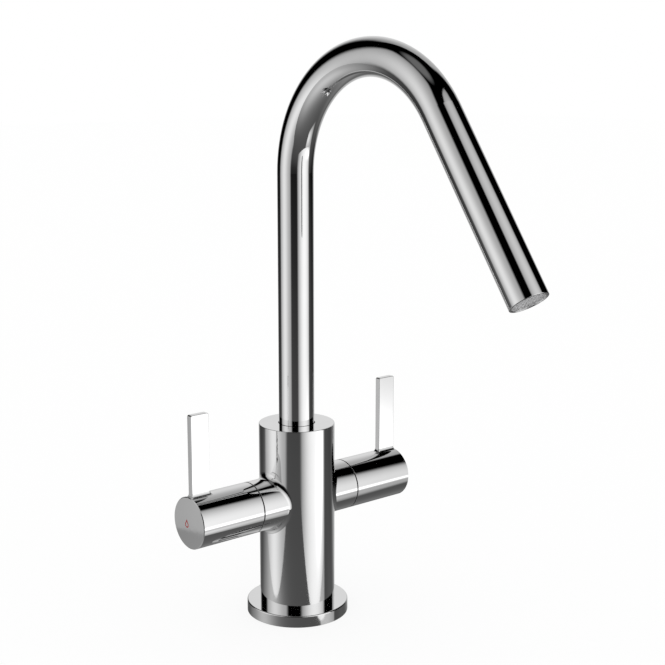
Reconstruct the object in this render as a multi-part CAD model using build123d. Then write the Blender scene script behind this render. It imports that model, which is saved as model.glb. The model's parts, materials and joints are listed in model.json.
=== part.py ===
"""Kitchen sink mixer with two side levers and a tall swivel spout.

Millimetres. The origin is the centre of the underside, on the deck that the tap stands on.
+Z is up, -Y is the front, where the spout points, and -X is the hot side.
"""
from build123d import *
import os
from math import cos, pi, radians, sin, sqrt

os.makedirs("parts", exist_ok=True)

# Clearances that are used between mating pieces
fixed_gap = 0.05      # radial, between pieces of one body
running_gap = 0.05    # radial, between a turning piece and its bearing
face_gap = 0.05       # along an axis, between flat faces that rub on each other
end_play = 0.2        # along an axis, between a turning piece and what keeps it in
free_gap = 0.3        # between pieces of different bodies that don't bear on each other

# Body casting
body_r = 21.8
body_top = 113.5
body_rim = 0.4
lever_axis_z = 69.4
arm_r = 14.65
arm_wall = 3.05       # least wall, outside the water gallery
arm_end = 34.0
arm_root = 3.5
joint_gap = 0.7
joint_rim = 0.12

# Base flange and its seal
flange_r = 29.5
flange_top = 6.9
flange_rim = 0.6
seal_proud = 0.1
seal_outer_r = 28.0
seal_width = 4.0
seal_depth = 2.0

# Foot that closes the body and carries the inlets
foot_r = 16.4
foot_top = 24.0
foot_rim = 0.5
inlet_x = 7.0
inlet_y = 3.0
inlet_thread_r = 4.5
inlet_thread_length = 12.0
inlet_bore_r = 3.2
stud_y = -10.0
stud_thread_r = 3.4
stud_thread_length = 14.0

# Spout tube: riser, one bend and a straight limb
tube_r = 10.2
tube_wall = 0.8
tube_rim = 0.25
tube_sink = 3.0
riser_top = 256.6
bend_r = 62.7
bend_angle = 145.0
limb_length = 104.4

# Spout socket in the body and the turned nipple that runs in it
socket_ring = 0.45
socket_depth = 27.1
chamber_step = 1.2
chamber_depth = 6.4
nipple_wall = 1.05
nipple_bore_r = 6.5
nipple_plug_length = 8.0
nipple_collar = 1.5
bush_length = 3.8
ring_section = 2.4
ring_room = 0.6       # by which a seal's groove is longer than the seal
ring_land = 1.5       # between two grooves of the nipple
bush_land = 1.0       # between a bush and the nearest groove
keeper_groove = 4.0
keeper_groove_depth = 1.4
keeper_thread_r = 2.45
keeper_tip_r = 1.5
keeper_length = 9.0
keeper_socket = 2.5

# Outlet
outlet_bush_wall = 0.5
outlet_bush_length = 14.0
outlet_bush_sink = 0.15
straightener_sink = 1.2
straightener_length = 7.0
straightener_rings = 4
straightener_pitch = 1.9
straightener_hole_r = 0.55
outlet_seal_width = 2.0
outlet_seal_length = 2.0

# Valve, measured outwards from the body's axis along each arm
valve_seat = 10.5
valve_seat_width = 4.0
inlet_chamber_depth = 6.0
gallery_step = 1.6    # radial, from the valve's bore to the water gallery
gallery_length = 5.0
mixing_bore_r = 3.0
disc_thickness = 3.0
disc_port_rim = 1.8
disc_hub_r = 1.2
disc_port_angle = 82.0
seat_seal_length = 2.0
seat_seal_width = 3.2
housing_wall = 1.4
housing_skirt_gap = 0.5
housing_window = 9.0
housing_window_rim = 0.5
housing_head = 4.5
housing_head_gap = 0.35
housing_neck_r = 7.5
housing_neck = 7.5
spindle_r = 4.0
spindle_flange = 2.8
spindle_flange_gap = 0.4
spindle_ring_section = 1.4
spindle_ring_room = 0.2
spindle_ring_in = 6.25
spindle_key = 1.5
spindle_key_width = 3.0
clip_thickness = 0.8
clip_r = 5.5
clip_depth = 0.6
clip_mouth = 4.8
spline_land = 1.0
spline_teeth = 20
spline_tooth = 0.4
spline_length = 10.0

# Handle: barrel and lever blade in one piece
barrel_length = 39.3
barrel_wall = 2.25
barrel_web = 17.0
cap_recess_wall = 1.75
cap_thickness = 1.3
cap_rim = 0.35
cap_spigot = 5.0
insert_wall = 2.85
blade_width = 11.6
blade_thickness = 3.6
blade_top = 130.1
blade_root = 2.5
blade_corner = 1.1
blade_rim = 0.35
casting_allowance = 6.0
grub_r = 2.0
grub_socket = 2.0
grub_sink = 0.6
glide_ring_width = 2.1
glide_ring_sink = 0.65

# Colour mark in the end cap, a drop drawn as an outline
mark_height = 4.9
mark_r = 1.65
mark_line = 0.66
mark_depth = 0.3
mark_sink = 0.05
mark_point = 2.0
mark_back = 2.2
mark_drop = 0.6

# Places and radii that follow from the sizes above
socket_r = tube_r + socket_ring
socket_floor = body_top - socket_depth
chamber_floor = socket_floor - chamber_depth
tube_foot = body_top - tube_sink
nipple_r = socket_r - nipple_wall
nipple_bottom = socket_floor + fixed_gap
collar_bottom = tube_foot - nipple_collar
upper_bush_top = collar_bottom - end_play
ring_groove = ring_section + ring_room
upper_ring_z = upper_bush_top - bush_length - bush_land - ring_groove / 2
lower_ring_z = upper_ring_z - ring_groove - ring_land
keeper_z = lower_ring_z - ring_groove / 2 - ring_land - keeper_groove / 2
outlet_bush_r = tube_r - tube_wall - fixed_gap
straightener_r = outlet_bush_r - outlet_bush_wall - fixed_gap
gallery_r = arm_r - arm_wall
valve_bore_r = gallery_r - gallery_step
inlet_chamber_r = valve_bore_r - valve_seat_width
housing_r = valve_bore_r - 2 * fixed_gap
disc_r = housing_r - housing_wall - free_gap
disc_port_r = disc_r - disc_port_rim
glide_ring_r = arm_r - glide_ring_sink
housing_head_r = glide_ring_r - glide_ring_width - housing_head_gap
fixed_disc_out = valve_seat + seat_seal_length
moving_disc_out = fixed_disc_out + disc_thickness + face_gap
spindle_flange_out = moving_disc_out + disc_thickness
chamber_end = spindle_flange_out + spindle_flange + spindle_flange_gap
spindle_ring_out = chamber_end + spindle_ring_in
housing_end = arm_end + housing_head + housing_neck
clip_out = housing_end + end_play
spline_out = clip_out + clip_thickness + spline_land
spindle_end = spline_out + spline_length
barrel_start = arm_end + joint_gap
barrel_end = barrel_start + barrel_length
web_out = housing_end + free_gap
grub_out = spline_out + spline_length / 2
insert_bore_r = spindle_r + insert_wall + fixed_gap
cap_recess_r = arm_r - cap_recess_wall

near = 0.01           # how near a place an edge has to lie to be picked


def disc(radius, start, end):
    """A solid disc about Z between two heights."""
    return Pos(0, 0, start) * Cylinder(radius, end - start, align=(Align.CENTER, Align.CENTER, Align.MIN))


def ring(outer, inner, start, end):
    """A plain ring about Z between two heights."""
    return disc(outer, start, end) - disc(inner, start, end)


def torus(outer, section, centre):
    """A round-section seal about Z, given by its outer radius."""
    return Pos(0, 0, centre) * Torus(outer - section / 2, section / 2)


def side_frame(side):
    """Frame of one arm: local Z runs outwards along the lever axis and local X is up."""
    return Plane(origin=(0, 0, lever_axis_z), x_dir=(0, 0, 1), z_dir=(side, 0, 0)).location


def at_height(edge, z):
    """Whether the whole edge lies at one height."""
    box = edge.bounding_box()
    return abs(box.min.Z - z) < near and abs(box.max.Z - z) < near


def round_rim(shape, radius, z):
    """Round the edges that lie at one height."""
    return fillet(shape.edges().filter_by(lambda e: at_height(e, z)), radius)


def hex_socket(flats, depth, top):
    """Hexagonal recess that opens at the top, for a key of the given width across flats."""
    outline = RegularPolygon(flats / sqrt(3), 6)
    return Pos(0, 0, top - depth) * extrude(outline, depth)


def tap_body():
    """Column and arms in one casting, with its sockets, valve bores and cored passages."""
    column = disc(body_r, flange_top, body_top)
    stub = round_rim(disc(arm_r, 0, arm_end), joint_rim, arm_end)
    casting = column + side_frame(-1) * stub + side_frame(1) * stub
    roots = casting.edges().filter_by(lambda e: e.geom_type not in (GeomType.CIRCLE, GeomType.LINE))
    casting = fillet(roots, arm_root)
    casting = round_rim(casting, body_rim, body_top)
    casting -= disc(foot_r + fixed_gap, flange_top, foot_top)
    casting -= disc(socket_r, socket_floor, body_top)
    casting -= disc(socket_r - chamber_step, chamber_floor, socket_floor)
    for side in (-1, 1):
        arm = side_frame(side)
        casting -= arm * disc(valve_bore_r, valve_seat, arm_end)
        casting -= arm * disc(inlet_chamber_r, valve_seat - inlet_chamber_depth, valve_seat)
        casting -= arm * disc(gallery_r, moving_disc_out, moving_disc_out + gallery_length)
        casting -= Pos(side * inlet_x, inlet_y, 0) * disc(inlet_bore_r, foot_top, lever_axis_z)
    mixing_z = chamber_floor + mixing_bore_r / 2
    mixing_reach = moving_disc_out + gallery_length / 2
    casting -= Pos(0, 0, mixing_z) * Rot(0, 90, 0) * Cylinder(mixing_bore_r, 2 * mixing_reach)
    casting -= keeper_frame() * disc(keeper_thread_r + fixed_gap, 0, body_r)
    return casting


def keeper_frame():
    """Frame of the screw at the back of the body: local Z runs backwards."""
    return Plane(origin=(0, 0, keeper_z), x_dir=(1, 0, 0), z_dir=(0, 1, 0)).location


def inlet_foot():
    """Turned foot with the two inlet threads and the thread for the fixing stud."""
    foot = round_rim(disc(foot_r, 0, foot_top), foot_rim, 0)
    for side in (-1, 1):
        inlet = Pos(side * inlet_x, inlet_y, 0)
        foot -= inlet * disc(inlet_thread_r, 0, inlet_thread_length)
        foot -= inlet * disc(inlet_bore_r, 0, foot_top)
    foot -= Pos(0, stud_y, 0) * disc(stud_thread_r, 0, stud_thread_length)
    return foot


def base_flange():
    """Round flange that covers the edge of the tap hole."""
    flange = round_rim(disc(flange_r, seal_proud, flange_top), flange_rim, flange_top)
    flange -= disc(foot_r + fixed_gap, seal_proud, flange_top)
    flange -= ring(seal_outer_r, seal_outer_r - seal_width, seal_proud, seal_depth)
    return flange


def base_seal():
    """Flat rubber ring in the groove under the flange, on which the tap stands."""
    return ring(seal_outer_r - fixed_gap, seal_outer_r - seal_width + fixed_gap, 0, seal_depth)


def spout_bush(top):
    """Plastic glide ring between the nipple and the socket."""
    return ring(socket_r - fixed_gap, nipple_r + running_gap, top - bush_length, top)


def keeper_screw():
    """Grub screw whose tip stands in the nipple's groove and keeps the spout down."""
    tip_in = nipple_r - keeper_groove_depth + free_gap
    thread_in = socket_r + fixed_gap
    screw = disc(keeper_tip_r, tip_in, thread_in)
    screw += disc(keeper_thread_r, thread_in, thread_in + keeper_length)
    screw -= hex_socket(keeper_socket, keeper_socket, thread_in + keeper_length)
    return keeper_frame() * screw


def bend_point(angle):
    """Point of the spout's centre line at an angle round the bend."""
    turn = radians(angle)
    return Vector(0, -bend_r * (1 - cos(turn)), riser_top + bend_r * sin(turn))


def outlet_frame():
    """Frame at the centre of the outlet: local Z points out along the limb."""
    turn = radians(bend_angle)
    along = Vector(0, -sin(turn), cos(turn))
    return Plane(origin=bend_point(bend_angle) + along * limb_length, x_dir=(1, 0, 0), z_dir=along)


def spout_tube():
    """Tube bent once, cut square at the outlet and eased at its rim."""
    riser = Line((0, 0, tube_foot), bend_point(0))
    bend = ThreePointArc(bend_point(0), bend_point(bend_angle / 2), bend_point(bend_angle))
    limb = Line(bend_point(bend_angle), outlet_frame().origin)
    section = Pos(0, 0, tube_foot) * (Circle(tube_r) - Circle(tube_r - tube_wall))
    tube = sweep(section, path=Wire([riser, bend, limb]))
    mouth = outlet_frame().origin
    rims = tube.edges().filter_by(lambda e: (e.center(CenterOf.BOUNDING_BOX) - mouth).length < near)
    return fillet(rims.filter_by(lambda e: e.radius > tube_r - tube_wall / 2), tube_rim)


def spout_nipple():
    """Turned fitting brazed into the foot of the tube, with its seal and keeper grooves."""
    nipple = disc(tube_r - tube_wall - fixed_gap, tube_foot, tube_foot + nipple_plug_length)
    nipple += disc(tube_r, collar_bottom, tube_foot)
    nipple += disc(nipple_r, nipple_bottom, collar_bottom)
    root_r = socket_r - running_gap - ring_section
    for centre in (upper_ring_z, lower_ring_z):
        nipple -= ring(nipple_r, root_r, centre - ring_groove / 2, centre + ring_groove / 2)
    keeper_bottom = keeper_z - keeper_groove / 2
    nipple -= ring(nipple_r, nipple_r - keeper_groove_depth, keeper_bottom, keeper_bottom + keeper_groove)
    nipple -= disc(nipple_bore_r, nipple_bottom, tube_foot + nipple_plug_length)
    return nipple


def spout_seal(centre):
    """Rubber ring in a groove of the nipple."""
    return torus(socket_r - running_gap, ring_section, centre)


def outlet_bush():
    """Turned bush inside the end of the tube that holds the flow straightener."""
    bush = ring(outlet_bush_r, outlet_bush_r - outlet_bush_wall, -outlet_bush_length, -outlet_bush_sink)
    return outlet_frame().location * bush


def flow_straightener():
    """Moulded disc with rings of fine holes, through which the water leaves."""
    top = -straightener_sink
    bottom = top - straightener_length
    insert = disc(straightener_r, bottom, top)
    hole = disc(straightener_hole_r, bottom, top)
    holes = [hole]
    for i in range(1, straightener_rings + 1):
        holes += PolarLocations(i * straightener_pitch, 6 * i) * hole
    return outlet_frame().location * (insert - holes)


def outlet_seal():
    """Rubber washer behind the flow straightener."""
    top = -straightener_sink - straightener_length
    washer = ring(straightener_r, straightener_r - outlet_seal_width, top - outlet_seal_length, top)
    return outlet_frame().location * washer


def seat_seal():
    """Rubber ring between the valve seat and the fixed disc."""
    return ring(disc_r, disc_r - seat_seal_width, valve_seat, fixed_disc_out)


def disc_ports():
    """Two opposite openings, each a sector of a ring, that let water through a disc."""
    sector = Circle(disc_port_r) - Circle(disc_hub_r)
    reach = 2 * disc_port_r
    half = radians(disc_port_angle / 2)
    wedge = make_face(Polyline(
        (0, 0), (reach * cos(half), reach * sin(half)), (reach * cos(half), -reach * sin(half)),
        close=True,
    ))
    port = sector & wedge
    return port + Rot(0, 0, 180) * port


def ceramic_disc(start, turned):
    """Ceramic valve disc with its two ports turned by an angle."""
    blank = disc(disc_r, start, start + disc_thickness)
    ports = Pos(0, 0, start) * Rot(0, 0, turned) * disc_ports()
    return blank - extrude(ports, disc_thickness)


def moving_disc():
    """Turning disc, a quarter turn off the fixed one while the tap is shut."""
    plate = ceramic_disc(moving_disc_out, 0)
    slot = Pos(0, 0, spindle_flange_out - spindle_key) * key_bar(2 * fixed_gap)
    return plate - slot


def key_bar(gap):
    """Bar across the moving disc, between its ports, that drives it."""
    return Box(
        spindle_key_width + gap, 2 * disc_port_r, spindle_key,
        align=(Align.CENTER, Align.CENTER, Align.MIN),
    )


def valve_housing():
    """Screwed valve body: skirt with windows, threaded shank, hexagon head and neck."""
    skirt = valve_seat + housing_skirt_gap
    housing = disc(housing_r, skirt, arm_end)
    housing += Pos(0, 0, arm_end) * extrude(RegularPolygon(housing_head_r, 6), housing_head)
    housing += disc(housing_neck_r, arm_end + housing_head, housing_end)
    housing -= disc(housing_r - housing_wall, skirt, chamber_end)
    housing -= disc(spindle_r + running_gap, chamber_end, housing_end)
    window = Pos(0, 0, moving_disc_out + gallery_length / 2) * Box(
        2 * valve_bore_r, housing_window, gallery_length - 2 * housing_window_rim
    )
    return housing - (window - disc(disc_r, valve_seat, chamber_end))


def spindle():
    """Spindle with its driving flange, key, seal groove, clip groove and spline."""
    shaft = disc(spindle_r, spindle_flange_out, spline_out)
    shaft += disc(disc_r, spindle_flange_out, spindle_flange_out + spindle_flange)
    shaft += Pos(0, 0, spindle_flange_out - spindle_key) * key_bar(0)
    half_groove = (spindle_ring_section + spindle_ring_room) / 2
    shaft -= ring(spindle_r, spindle_r - spindle_ring_section,
                  spindle_ring_out - half_groove, spindle_ring_out + half_groove)
    shaft -= ring(spindle_r, spindle_r - clip_depth, clip_out, clip_out + clip_thickness)
    return shaft + Pos(0, 0, spline_out) * extrude(spline_outline(0), spline_length)


def spline_outline(gap):
    """Toothed outline of the spline, grown by a gap for the piece that fits over it."""
    points = []
    for i in range(2 * spline_teeth):
        radius = spindle_r + gap - (spline_tooth if i % 2 else 0)
        turn = pi * i / spline_teeth
        points.append((radius * cos(turn), radius * sin(turn)))
    return make_face(Polyline(points, close=True))


def spindle_seal():
    """Rubber ring in the spindle's groove."""
    return torus(spindle_r, spindle_ring_section, spindle_ring_out)


def spindle_clip():
    """Open spring clip that keeps the spindle in its housing."""
    clip = ring(clip_r, spindle_r - clip_depth, clip_out, clip_out + clip_thickness)
    mouth = Pos(0, -clip_r, clip_out) * Box(clip_mouth, 2 * clip_r, 4 * clip_thickness)
    return clip - mouth


def spline_insert():
    """Plastic sleeve between the spline and the handle."""
    sleeve = disc(insert_bore_r - fixed_gap, spline_out, spindle_end)
    toothed = Pos(0, 0, spline_out) * extrude(spline_outline(fixed_gap), spline_length)
    return sleeve - toothed


def lever_blade():
    """Flat blade along local X, with its corners rounded and all its long edges eased."""
    height = blade_top - lever_axis_z
    blade = Pos(0, 0, barrel_end - blade_width) * Box(
        height, blade_thickness, blade_width,
        align=(Align.MIN, Align.CENTER, Align.MIN),
    )
    blade = fillet(blade.edges().filter_by(Axis.Y).group_by(Axis.X)[-1], blade_corner)
    sides = blade.edges().filter_by(lambda e: abs(e.center().Y) > blade_thickness / 2 - near)
    return fillet(sides.filter_by(lambda e: e.center().X > near), blade_rim)


def handle():
    """Barrel and blade, cast longer than needed, faced off and bored from both ends."""
    stock_end = barrel_end + casting_allowance
    barrel = round_rim(disc(arm_r, barrel_start, stock_end), joint_rim, barrel_start)
    grip = Rot(0, 0, 180) * barrel + lever_blade()
    grip = fillet(grip.edges().filter_by(is_blade_root), blade_root)
    grip -= disc(blade_top, barrel_end, stock_end)
    grip -= disc(arm_r - barrel_wall, barrel_start, web_out)
    grip -= disc(insert_bore_r, web_out, spindle_end + free_gap)
    grip -= disc(cap_recess_r, web_out + barrel_web, barrel_end)
    grip -= grub_frame() * disc(grub_r + fixed_gap, 0, arm_r)
    return grip


def is_blade_root(edge):
    """Whether an edge is where the blade stands on the barrel."""
    middle = edge.position_at(0.5)
    on_barrel = abs(sqrt(middle.X ** 2 + middle.Y ** 2) - arm_r) < near
    at_blade = abs(middle.Y) < blade_thickness / 2 + near and middle.X > 0
    return on_barrel and at_blade and barrel_start + blade_root < middle.Z < barrel_end + near


def grub_frame():
    """Frame of the handle's grub screw: local Z points down, away from the blade."""
    return Plane(origin=(0, 0, grub_out), x_dir=(0, 1, 0), z_dir=(-1, 0, 0)).location


def grub_screw():
    """Screw that clamps the spline insert, sunk a little below the barrel's skin."""
    outer = arm_r - grub_sink
    screw = disc(grub_r, insert_bore_r, outer) - hex_socket(grub_socket, grub_socket, outer)
    return grub_frame() * screw


def glide_ring():
    """Plastic ring that fills the bottom of the joint between arm and handle."""
    return ring(glide_ring_r, glide_ring_r - glide_ring_width, arm_end, barrel_start - face_gap)


def mark_outline(inset):
    """Drop with a round foot and a pointed top, drawn upwards along local X."""
    radius = mark_r - inset
    tip = mark_height - mark_r - inset * mark_point
    touch = radius * radius / tip
    half = radius * sqrt(1 - (radius / tip) ** 2)
    foot = ThreePointArc((touch, half), (-radius, 0), (touch, -half))
    return make_face(foot + Line((touch, -half), (tip, 0)) + Line((tip, 0), (touch, half)))


def mark_shape():
    """The drop's coloured line, at its place on the cap."""
    outline = mark_outline(0) - mark_outline(mark_line)
    return Pos(-mark_drop - (mark_height / 2 - mark_r), 0, 0) * outline


def end_cap(back):
    """Flat cap with an eased rim, pressed into the handle's outer end."""
    outer = barrel_end + cap_thickness
    cap = disc(arm_r, barrel_end, outer)
    cap = chamfer(cap.edges().filter_by(lambda e: at_height(e, outer)), cap_rim)
    cap += disc(cap_recess_r - fixed_gap, barrel_end - cap_spigot, barrel_end)
    groove = Pos(0, back, outer - mark_depth) * extrude(mark_shape(), mark_depth)
    return cap - groove


def colour_mark(back):
    """Enamel in the cap's groove."""
    floor = barrel_end + cap_thickness - mark_depth
    return Pos(0, back, floor) * extrude(mark_shape(), mark_depth - mark_sink)


pieces = {
    "tap_body": tap_body(),
    "inlet_foot": inlet_foot(),
    "base_flange": base_flange(),
    "base_seal": base_seal(),
    "spout_bush_upper": spout_bush(upper_bush_top),
    "spout_bush_lower": spout_bush(socket_floor + fixed_gap + bush_length),
    "spout_keeper_screw": keeper_screw(),
    "spout_tube": spout_tube(),
    "spout_nipple": spout_nipple(),
    "spout_seal_upper": spout_seal(upper_ring_z),
    "spout_seal_lower": spout_seal(lower_ring_z),
    "outlet_bush": outlet_bush(),
    "flow_straightener": flow_straightener(),
    "outlet_seal": outlet_seal(),
}

for name, side in (("hot", -1), ("cold", 1)):
    back = -side * mark_back
    valve_pieces = {
        "valve_housing": valve_housing(),
        "seat_seal": seat_seal(),
        "fixed_disc": ceramic_disc(fixed_disc_out, 90),
        "glide_ring": glide_ring(),
        "moving_disc": moving_disc(),
        "spindle": spindle(),
        "spindle_seal": spindle_seal(),
        "spindle_clip": spindle_clip(),
        "spline_insert": spline_insert(),
        "handle": handle(),
        "end_cap": end_cap(back),
        "colour_mark": colour_mark(back),
        "grub_screw": grub_screw(),
    }
    for piece_name, piece in valve_pieces.items():
        pieces[f"{name}_{piece_name}"] = side_frame(side) * piece

for node, solid in pieces.items():
    export_step(solid, f"parts/{node}.step")
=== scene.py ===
"""Kitchen sink mixer with two side levers and a swivel spout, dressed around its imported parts.

Metres, in the parts' own frame: the origin is on the deck under the tap, +Z is up,
-Y is the front, where the spout points, and -X is the hot side.
"""
import json
from math import cos, pi, radians, sin

import bmesh
import bpy
from mathutils import Matrix, Vector


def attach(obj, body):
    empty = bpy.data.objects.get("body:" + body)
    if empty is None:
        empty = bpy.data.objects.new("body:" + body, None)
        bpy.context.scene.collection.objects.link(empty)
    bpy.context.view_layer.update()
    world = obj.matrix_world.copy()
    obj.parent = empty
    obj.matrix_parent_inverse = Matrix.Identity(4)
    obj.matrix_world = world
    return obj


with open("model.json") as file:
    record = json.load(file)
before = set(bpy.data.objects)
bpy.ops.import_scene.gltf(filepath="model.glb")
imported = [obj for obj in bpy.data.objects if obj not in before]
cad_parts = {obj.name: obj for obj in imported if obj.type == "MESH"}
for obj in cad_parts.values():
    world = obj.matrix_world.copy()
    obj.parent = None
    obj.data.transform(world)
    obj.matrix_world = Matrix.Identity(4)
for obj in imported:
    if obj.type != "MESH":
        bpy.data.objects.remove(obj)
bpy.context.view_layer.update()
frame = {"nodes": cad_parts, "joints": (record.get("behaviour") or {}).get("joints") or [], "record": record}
nodes = frame["nodes"]


# Inlet foot: a brass plug turned from bar, screwed and sealed into the bottom of the body.
# The two flexible tails and the fixing stud screw into its underside, which the cutter has
# left with fine rings.

def add_node(tree, kind, inputs=None, **settings):
    """A shader node with its settings, and inputs given as values or as outputs to link."""
    node = tree.nodes.new(kind)
    for name, value in settings.items():
        setattr(node, name, value)
    for name, value in (inputs or {}).items():
        if isinstance(value, bpy.types.NodeSocket):
            tree.links.new(value, node.inputs[name])
        else:
            node.inputs[name].default_value = value
    return node


def calculate(tree, operation, *values):
    """The output of a Math node."""
    return add_node(tree, "ShaderNodeMath", dict(enumerate(values)), operation=operation).outputs[0]


def spread(tree, value, start, end, low=0.0, high=1.0, curve="SMOOTHSTEP"):
    """The output of a Map Range node, which takes start to end onto low to high."""
    limits = {"Value": value, "From Min": start, "From Max": end, "To Min": low, "To Max": high}
    return add_node(tree, "ShaderNodeMapRange", limits, interpolation_type=curve).outputs["Result"]


def new_group(name, inputs, outputs):
    """An empty shader node group with its sockets, its input node and its output node."""
    group = bpy.data.node_groups.new(name, "ShaderNodeTree")
    for socket, kind in inputs.items():
        group.interface.new_socket(socket, in_out="INPUT", socket_type=f"NodeSocket{kind}")
    for socket, kind in outputs.items():
        group.interface.new_socket(socket, in_out="OUTPUT", socket_type=f"NodeSocket{kind}")
    given = group.nodes.new("NodeGroupInput").outputs
    result = group.nodes.new("NodeGroupOutput").inputs
    return group, given, result


surface_marks, given, result = new_group(
    "surface_marks", {"Marks per metre": "Float"}, {"Marks": "Float", "Grain": "Float"},
)
place = add_node(surface_marks, "ShaderNodeTexCoord").outputs["Object"]
wipes = add_node(surface_marks, "ShaderNodeTexNoise", {
    "Vector": place, "Scale": given["Marks per metre"], "Detail": 4.0, "Roughness": 0.6,
})
grains_per_mark = 12.0
grains_per_metre = calculate(surface_marks, "MULTIPLY", given["Marks per metre"], grains_per_mark)
grain = add_node(surface_marks, "ShaderNodeTexNoise", {
    "Vector": place, "Scale": grains_per_metre, "Detail": 2.0,
})
marks = spread(surface_marks, wipes.outputs["Fac"], start=0.36, end=0.64)
specks = spread(surface_marks, grain.outputs["Fac"], start=0.3, end=0.7)
surface_marks.links.new(marks, result["Marks"])
surface_marks.links.new(specks, result["Grain"])


def calculate_vector(tree, operation, *values, output="Vector"):
    """An output of a Vector Math node."""
    node = add_node(tree, "ShaderNodeVectorMath", dict(enumerate(values)), operation=operation)
    return node.outputs[output]


lathe_rings, given, result = new_group(
    "lathe_rings",
    {"Centre": "Vector", "Across": "Vector", "Rings per metre": "Float"},
    {"Rings": "Float"},
)
place = add_node(lathe_rings, "ShaderNodeTexCoord").outputs["Object"]
away = calculate_vector(lathe_rings, "SUBTRACT", place, given["Centre"])
away = calculate_vector(lathe_rings, "MULTIPLY", away, given["Across"])
radius = calculate_vector(lathe_rings, "LENGTH", away, output="Value")
turns = calculate(lathe_rings, "MULTIPLY", radius, given["Rings per metre"])
wave = calculate(lathe_rings, "PINGPONG", turns, 0.5)
lathe_rings.links.new(calculate(lathe_rings, "MULTIPLY", wave, 2.0), result["Rings"])


def finish(name, colour, worn, smooth, rough, marks, relief, rings=None, **plain):
    """A material whose colour and roughness drift with the surface marks, over a fine relief.

    The relief is grain, with the cutter's rings on it where rings gives their centre, the
    directions across the axis and their number per metre. plain holds the shader's values
    that are the same all over the surface.
    """
    material = bpy.data.materials.new(name)
    material.use_nodes = True
    tree = material.node_tree
    shader = tree.nodes["Principled BSDF"]
    detail = add_node(tree, "ShaderNodeGroup", node_tree=surface_marks)
    detail.inputs["Marks per metre"].default_value = marks
    tint = add_node(tree, "ShaderNodeValToRGB", {"Fac": detail.outputs["Marks"]})
    tint.color_ramp.elements[0].color = (*colour, 1)
    tint.color_ramp.elements[1].color = (*worn, 1)
    tree.links.new(tint.outputs["Color"], shader.inputs["Base Color"])
    gloss = spread(tree, detail.outputs["Marks"], 0.0, 1.0, smooth, rough, "LINEAR")
    tree.links.new(gloss, shader.inputs["Roughness"])
    height = detail.outputs["Grain"]
    if rings:
        centre, across, per_metre = rings
        turned = add_node(tree, "ShaderNodeGroup", node_tree=lathe_rings)
        turned.inputs["Centre"].default_value = centre
        turned.inputs["Across"].default_value = across
        turned.inputs["Rings per metre"].default_value = per_metre
        height = calculate(tree, "ADD", turned.outputs["Rings"], height)
    bump = add_node(tree, "ShaderNodeBump", {"Height": height, "Distance": relief})
    tree.links.new(bump.outputs["Normal"], shader.inputs["Normal"])
    for socket, value in plain.items():
        shader.inputs[socket.replace("_", " ").title()].default_value = value
    return material


def dress(material, *names):
    """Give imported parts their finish."""
    for name in names:
        nodes[name].material_slots[0].material = material


def add_piece(name, shape, material, body):
    """Turn a bmesh into a piece of the tap that moves with one of its bodies."""
    bmesh.ops.remove_doubles(shape, verts=shape.verts, dist=1e-6)
    bmesh.ops.recalc_face_normals(shape, faces=shape.faces)
    mesh = bpy.data.meshes.new(name)
    shape.to_mesh(mesh)
    shape.free()
    mesh.materials.append(material)
    piece = bpy.data.objects.new(name, mesh)
    bpy.context.scene.collection.objects.link(piece)
    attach(piece, body)


def internal_thread(name, hole, pitch):
    """Helical ridge inside a tapped hole that opens at the deck, from the hole's mount."""
    x, y = hole["pos_m"][:2]
    radius = hole["dims"]["r_mm"] / 1000
    length = hole["dims"]["length_mm"] / 1000
    depth = 0.4 * pitch
    crest = 0.5 * pitch
    foot = 0.9 * pitch
    start = 0.0003
    steps = 36
    turns = round(length / pitch) - 1
    ridge = bmesh.new()
    profile = [(radius, 0), (radius - depth, crest), (radius, foot)]
    tooth = ridge.faces.new([ridge.verts.new((across, 0, up)) for across, up in profile])
    bmesh.ops.spin(
        ridge, geom=[tooth], cent=(0, 0, 0), axis=(0, 0, 1), dvec=(0, 0, pitch / steps),
        angle=2 * pi * turns, steps=steps * turns, use_merge=False,
    )
    bmesh.ops.holes_fill(ridge, edges=[edge for edge in ridge.edges if edge.is_boundary])
    bmesh.ops.translate(ridge, verts=ridge.verts, vec=(x, y, start))
    add_piece(name, ridge, turned_brass, "tap")


deck_axis = (0, 0, 0)
round_z = (1, 1, 0)
turned_brass = finish(
    "turned brass", (0.80, 0.60, 0.30), (0.66, 0.46, 0.21), 0.2, 0.38, marks=160, relief=0.00002,
    rings=(deck_axis, round_z, 1600), metallic=1.0,
)
dress(turned_brass, "inlet_foot")
tail_pitch = 0.001
stud_pitch = 0.00125
holes = {mount["name"]: mount for mount in frame["record"]["mounts"]}
internal_thread("hot_inlet_thread", holes["hot_inlet"], tail_pitch)
internal_thread("cold_inlet_thread", holes["cold_inlet"], tail_pitch)
internal_thread("stud_thread", holes["fixing_stud"], stud_pitch)


# Base seal: a flat ring of black rubber in a groove under the flange. The tap stands on it,
# and it keeps splashes out of the hole in the worktop.
moulded_rubber = finish(
    "moulded rubber", (0.012, 0.012, 0.013), (0.03, 0.03, 0.031), 0.55, 0.75, marks=260,
    relief=0.00004,
)
dress(moulded_rubber, "base_seal")


# Base flange: a turned brass disc with an eased rim, polished and plated with bright chrome.
# It slips over the foot and hides the edge of the hole in the worktop.
bright_chrome = finish(
    "bright chrome", (0.95, 0.95, 0.95), (0.93, 0.93, 0.932), 0.03, 0.05, marks=35,
    relief=0.0000004, metallic=1.0,
)
dress(bright_chrome, "base_flange")


# Body: one brass casting, the column with its two arms. It is machined for the spout, the
# valves and the foot, then polished all over and plated.
dress(bright_chrome, "tap_body")


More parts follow.
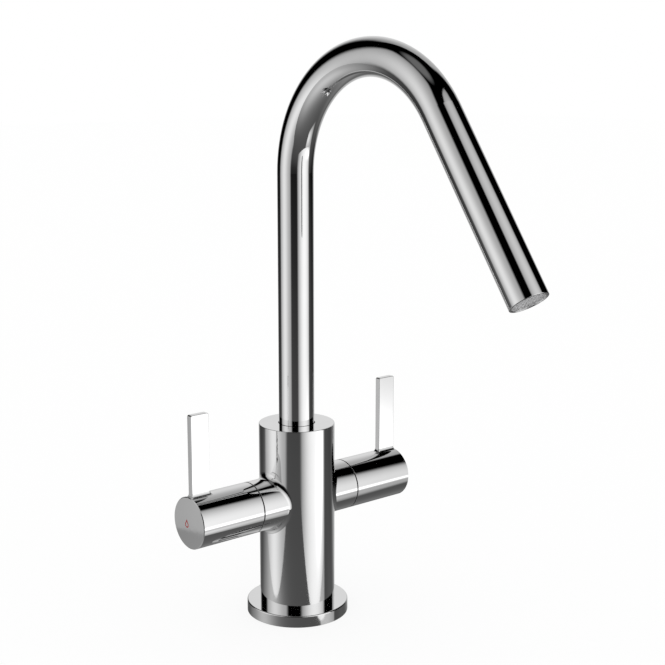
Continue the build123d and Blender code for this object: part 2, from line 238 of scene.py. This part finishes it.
# Spout bearings: two glide bushes of white acetal in the socket on top of the body, and the
# steel grub screw at the back that holds the spout down and lets it turn.
white_acetal = finish(
    "white acetal", (0.78, 0.77, 0.73), (0.70, 0.69, 0.65), 0.3, 0.45, marks=120, relief=0.00002,
)
stainless_steel = finish(
    "stainless steel", (0.58, 0.57, 0.55), (0.46, 0.45, 0.44), 0.22, 0.4, marks=400,
    relief=0.00001, metallic=1.0,
)
dress(white_acetal, "spout_bush_upper", "spout_bush_lower")
dress(stainless_steel, "spout_keeper_screw")


# Spout: a thin brass tube with one bend, polished and plated, with a turned nipple brazed into
# its foot. Two rubber rings in the nipple's grooves seal it in the body.
dress(bright_chrome, "spout_tube")
dress(turned_brass, "spout_nipple")
dress(moulded_rubber, "spout_seal_upper", "spout_seal_lower")


# Outlet: a plated bush pressed into the end of the tube. It holds the flow straightener, a
# grey moulding with rings of holes for the water, on a rubber washer.
grey_nylon = finish(
    "grey nylon", (0.52, 0.52, 0.525), (0.46, 0.46, 0.465), 0.35, 0.5, marks=500, relief=0.00002,
)
dress(bright_chrome, "outlet_bush")
dress(grey_nylon, "flow_straightener")
dress(moulded_rubber, "outlet_seal")


# Valves: each arm holds a brass cartridge with two ceramic discs. The spindle turns the outer
# disc a quarter turn over the fixed one, and a spring clip keeps it in its housing.
hinges = {joint["name"]: joint for joint in frame["joints"]}
lever_axis = hinges["hot_lever_turn"]["pos_m"]
round_x = (0, 1, 1)
lathe_brass = finish(
    "lathe-turned brass", (0.80, 0.60, 0.30), (0.68, 0.48, 0.22), 0.18, 0.34, marks=160,
    relief=0.00002, rings=(lever_axis, round_x, 1600), metallic=1.0,
)
fired_ceramic = finish(
    "fired ceramic", (0.82, 0.81, 0.78), (0.74, 0.73, 0.70), 0.12, 0.3, marks=900, relief=0.000005,
)
black_nylon = finish(
    "black nylon", (0.014, 0.014, 0.015), (0.028, 0.028, 0.029), 0.4, 0.55, marks=420,
    relief=0.00002,
)
for side in ("hot", "cold"):
    dress(lathe_brass, f"{side}_valve_housing", f"{side}_spindle")
    dress(moulded_rubber, f"{side}_seat_seal", f"{side}_spindle_seal")
    dress(fired_ceramic, f"{side}_fixed_disc", f"{side}_moving_disc")
    dress(stainless_steel, f"{side}_spindle_clip")
    dress(white_acetal, f"{side}_spline_insert")
    dress(black_nylon, f"{side}_glide_ring")


# Handles: a hollow barrel and an upright blade, cast in one, polished and plated. A grub screw
# under the barrel clamps each to its spindle, and a flat cap closes the outer end.
for side in ("hot", "cold"):
    dress(bright_chrome, f"{side}_handle", f"{side}_end_cap")
    dress(stainless_steel, f"{side}_grub_screw")


# Colour marks: the outline of a water drop in each cap, a cut line filled with enamel, red on
# the hot side and blue on the cold.
red_enamel = finish(
    "red enamel", (0.40, 0.012, 0.010), (0.32, 0.010, 0.008), 0.15, 0.28, marks=1200,
    relief=0.000005,
)
blue_enamel = finish(
    "blue enamel", (0.010, 0.04, 0.24), (0.008, 0.03, 0.18), 0.15, 0.28, marks=1200,
    relief=0.000005,
)
dress(red_enamel, "hot_colour_mark")
dress(blue_enamel, "cold_colour_mark")


# Floor: a plain white sweep that keeps the tap's faint shadow. The metal doesn't show it and
# mirrors the studio's own floor instead, which lies far below the deck.
floor_reach = 6
plain_white_share = 0.85
floor_shape = bmesh.new()
bmesh.ops.create_grid(floor_shape, x_segments=1, y_segments=1, size=floor_reach)
floor_mesh = bpy.data.meshes.new("floor")
floor_shape.to_mesh(floor_mesh)
floor_shape.free()
floor_paint = bpy.data.materials.new("floor paint")
floor_paint.use_nodes = True
tree = floor_paint.node_tree
tree.nodes.clear()
path = add_node(tree, "ShaderNodeLightPath")
matt = add_node(tree, "ShaderNodeBsdfDiffuse", {"Color": (0.97, 0.97, 0.97, 1)})
white = add_node(tree, "ShaderNodeEmission", {"Strength": 1.0})
share = calculate(tree, "MULTIPLY", path.outputs["Is Camera Ray"], plain_white_share)
mixed = add_node(tree, "ShaderNodeMixShader", {0: share, 1: matt.outputs[0], 2: white.outputs[0]})
add_node(tree, "ShaderNodeOutputMaterial", {"Surface": mixed.outputs[0]})
floor_mesh.materials.append(floor_paint)
floor = bpy.data.objects.new("floor", floor_mesh)
floor.visible_glossy = False
bpy.context.scene.collection.objects.link(floor)


# Camera: in front of the tap and to its left, a little above the spout, looking down at it
# through a long lens.
looking_down = 11.42
roll = -0.03
heading = -39.95
camera_data = bpy.data.cameras.new("camera")
camera_data.sensor_width = 36
camera_data.lens = 71.84
camera = bpy.data.objects.new("camera", camera_data)
camera.location = (-0.45849, -0.57935, 0.31528)
camera.rotation_euler = (radians(90 - looking_down), radians(roll), radians(heading))
bpy.context.scene.collection.objects.link(camera)
bpy.context.scene.camera = camera


# Light panels: three tall panels of lit cloth, which stand left, right and behind on the floor
# of a dark room. Only the metal sees them. Their bearings are degrees from the camera, rising
# to its right, and places on them are in metres from the middle of their foot.
camera_bearing = -130
floor_drop = 0.77

soft_glow, given, result = new_group(
    "soft_glow", {"Place": "Vector", "Centre": "Vector", "Reach": "Vector", "Level": "Float"},
    {"Light": "Float"},
)
away = calculate_vector(soft_glow, "SUBTRACT", given["Place"], given["Centre"])
away = calculate_vector(soft_glow, "DIVIDE", away, given["Reach"])
squared = calculate_vector(soft_glow, "DOT_PRODUCT", away, away, output="Value")
fade = calculate(soft_glow, "EXPONENT", calculate(soft_glow, "MULTIPLY", squared, -1.0))
soft_glow.links.new(calculate(soft_glow, "MULTIPLY", fade, given["Level"]), result["Light"])

soft_edge, given, result = new_group(
    "soft_edge", {"Place": "Vector", "Across": "Vector", "Dark": "Float", "Lit": "Float"},
    {"Share": "Float"},
)
along = calculate_vector(soft_edge, "DOT_PRODUCT", given["Place"], given["Across"], output="Value")
soft_edge.links.new(spread(soft_edge, along, given["Dark"], given["Lit"]), result["Share"])


def light_patch(tree, place, glows, edges=()):
    """Glows added up, each a centre, a reach and a level, and cut off by straight soft edges.

    An edge is the direction across it and how far along it the patch is dark and is fully lit.
    """
    light = 0.0
    for centre, reach, level in glows:
        glow = add_node(tree, "ShaderNodeGroup", {"Place": place}, node_tree=soft_glow)
        glow.inputs["Centre"].default_value = (*centre, 0)
        glow.inputs["Reach"].default_value = (*reach, 1)
        glow.inputs["Level"].default_value = level
        light = calculate(tree, "ADD", light, glow.outputs["Light"])
    for across, dark, lit in edges:
        edge = add_node(tree, "ShaderNodeGroup", {"Place": place}, node_tree=soft_edge)
        edge.inputs["Across"].default_value = (*across, 0)
        edge.inputs["Dark"].default_value = dark
        edge.inputs["Lit"].default_value = lit
        light = calculate(tree, "MULTIPLY", light, edge.outputs["Share"])
    return light


def studio_surface(name, width, height, low_edge, bearing, location, upright):
    """A flat surface that only the metal sees, and the bare start of its material."""
    shape = bmesh.new()
    bmesh.ops.create_grid(shape, x_segments=1, y_segments=1, size=0.5)
    bmesh.ops.scale(shape, vec=(width, height, 1), verts=shape.verts)
    bmesh.ops.translate(shape, vec=(0, low_edge + 0.5 * height, 0), verts=shape.verts)
    mesh = bpy.data.meshes.new(name)
    shape.to_mesh(mesh)
    shape.free()
    cloth = bpy.data.materials.new(name)
    cloth.use_nodes = True
    cloth.cycles.emission_sampling = "NONE"
    cloth.node_tree.nodes.clear()
    mesh.materials.append(cloth)
    surface = bpy.data.objects.new(name, mesh)
    surface.location = location
    surface.rotation_euler = (radians(90 if upright else 0), 0, radians(bearing))
    surface.visible_camera = False
    surface.visible_diffuse = False
    surface.visible_shadow = False
    bpy.context.scene.collection.objects.link(surface)
    place = add_node(cloth.node_tree, "ShaderNodeTexCoord").outputs["Object"]
    return cloth.node_tree, place


def light_panel(name, bearing, distance, left, right, top, lean, glows, clear=0.0):
    """A standing panel, its cloth cut off softly at the left, the right and the top.

    left and right run from its left to its right, top runs upwards, and each edge lies
    between its two values. The left edge leans, and the cloth hangs clear of the floor.
    """
    world_bearing = camera_bearing + bearing
    foot_x = distance * cos(radians(world_bearing))
    foot_y = distance * sin(radians(world_bearing))
    spare = 0.5
    width = 2 * max(-left[0], right[1]) + 2 * spare
    tree, place = studio_surface(
        name, width, top[1], clear, world_bearing + 90, (foot_x, foot_y, -floor_drop), upright=True,
    )
    part = add_node(tree, "ShaderNodeSeparateXYZ", {0: place}).outputs
    leaning = calculate(tree, "MULTIPLY_ADD", part["Y"], lean, part["X"])
    from_left = spread(tree, leaning, *left)
    from_right = spread(tree, part["X"], right[1], right[0])
    from_top = spread(tree, part["Y"], top[1], top[0])
    from_sides = calculate(tree, "MULTIPLY", from_left, from_right)
    cloth = calculate(tree, "MULTIPLY", from_sides, from_top)
    lit = add_node(tree, "ShaderNodeEmission", {"Color": light_patch(tree, place, glows)})
    open_air = add_node(tree, "ShaderNodeBsdfTransparent")
    mixed = add_node(
        tree, "ShaderNodeMixShader", {0: cloth, 1: open_air.outputs[0], 2: lit.outputs[0]},
    )
    add_node(tree, "ShaderNodeOutputMaterial", {"Surface": mixed.outputs[0]})


light_panel(
    "left_panel", bearing=-68, distance=1.84, clear=0.022,
    left=(-1.9, -1.25), right=(1.15, 1.7), top=(4.05, 5.4), lean=-0.06,
    glows=[((-0.15, 0.1), (0.75, 2.4), 0.40), ((-0.15, 0.9), (4.4, 5.35), 0.43)],
)
light_panel(
    "right_panel", bearing=57, distance=1.79,
    left=(-2.0, -1.4), right=(0.98, 1.45), top=(4.4, 4.75), lean=0.0,
    glows=[
        ((0.67, 0.25), (0.4, 0.14), 1.1), ((0.0, 0.66), (1.48, 2.23), 1.0),
        ((-0.73, 3.8), (2.65, 1.5), 0.35),
    ],
)
light_panel(
    "back_panel", bearing=175, distance=2.06,
    left=(-1.3, -0.8), right=(0.8, 1.87), top=(4.4, 4.8), lean=0.14,
    glows=[((0.25, 1.4), (0.88, 1.46), 0.39), ((-1.1, 2.1), (3.4, 5.6), 0.39)],
)


# Studio floor: it lies under the panels, and light from them and from a window falls on it in
# soft patches. Only the metal sees it, in the place of the white floor round the tap.
room = 80
tree, place = studio_surface(
    "studio_floor", room, room, low_edge=-0.5 * room, bearing=camera_bearing,
    location=(0, 0, -floor_drop), upright=False,
)
spilt_light = light_patch(
    tree, place,
    glows=[
        ((1.45, -1.2), (13.0, 10.8), 0.02), ((1.0, -1.4), (3.5, 27.7), 0.055),
        ((0.25, -2.1), (0.95, 1.6), 0.40), ((0.1, -0.8), (0.7, 0.57), 0.29),
        ((-0.9, -0.3), (0.42, 1.56), 0.12), ((-2.5, 0.47), (0.65, 1.12), 0.88),
    ],
)
window_light = light_patch(
    tree, place,
    glows=[((0.46, 1.19), (0.38, 0.38), 0.45), ((0.6, 1.9), (1.2, 1.2), 0.38)],
    edges=[((1, 0), -0.19, -0.04), ((0, 1), 0.85, 0.97), ((1, -1), -0.40, -0.51)],
)
floor_light = calculate(tree, "ADD", spilt_light, window_light)
glowing_floor = add_node(tree, "ShaderNodeEmission", {"Color": floor_light})
add_node(tree, "ShaderNodeOutputMaterial", {"Surface": glowing_floor.outputs[0]})


# Room: plain white light of strength 1 comes from all round. The metal mirrors a dark room in
# its place, with one faint patch of light on the ceiling.
patch_bearing = -60
patch_height = 82
dark_cosine = 0.943
lit_cosine = 0.991
patch_level = 0.13
studio = bpy.data.worlds.new("studio")
bpy.context.scene.world = studio
studio.use_nodes = True
tree = studio.node_tree
tree.nodes.clear()
overhead = Matrix.Rotation(-radians(patch_height), 3, "Y") @ Vector((1, 0, 0))
overhead.rotate(Matrix.Rotation(radians(camera_bearing + patch_bearing), 3, "Z"))
direction = add_node(tree, "ShaderNodeTexCoord").outputs["Generated"]
towards = calculate_vector(tree, "DOT_PRODUCT", direction, overhead, output="Value")
ceiling = spread(tree, towards, dark_cosine, lit_cosine, 0.0, patch_level)
path = add_node(tree, "ShaderNodeLightPath").outputs
metal_sees = calculate(tree, "MAXIMUM", path["Is Glossy Ray"], path["Is Transmission Ray"])
plain_light = add_node(tree, "ShaderNodeBackground", {"Color": (1, 1, 1, 1), "Strength": 1.0})
dark_room = add_node(tree, "ShaderNodeBackground", {"Color": (1, 1, 1, 1), "Strength": ceiling})
both = add_node(
    tree, "ShaderNodeMixShader", {0: metal_sees, 1: plain_light.outputs[0], 2: dark_room.outputs[0]},
)
add_node(tree, "ShaderNodeOutputWorld", {"Surface": both.outputs[0]})
studio.cycles.sampling_method = "NONE"

bpy.context.scene.view_settings.view_transform = "Standard"
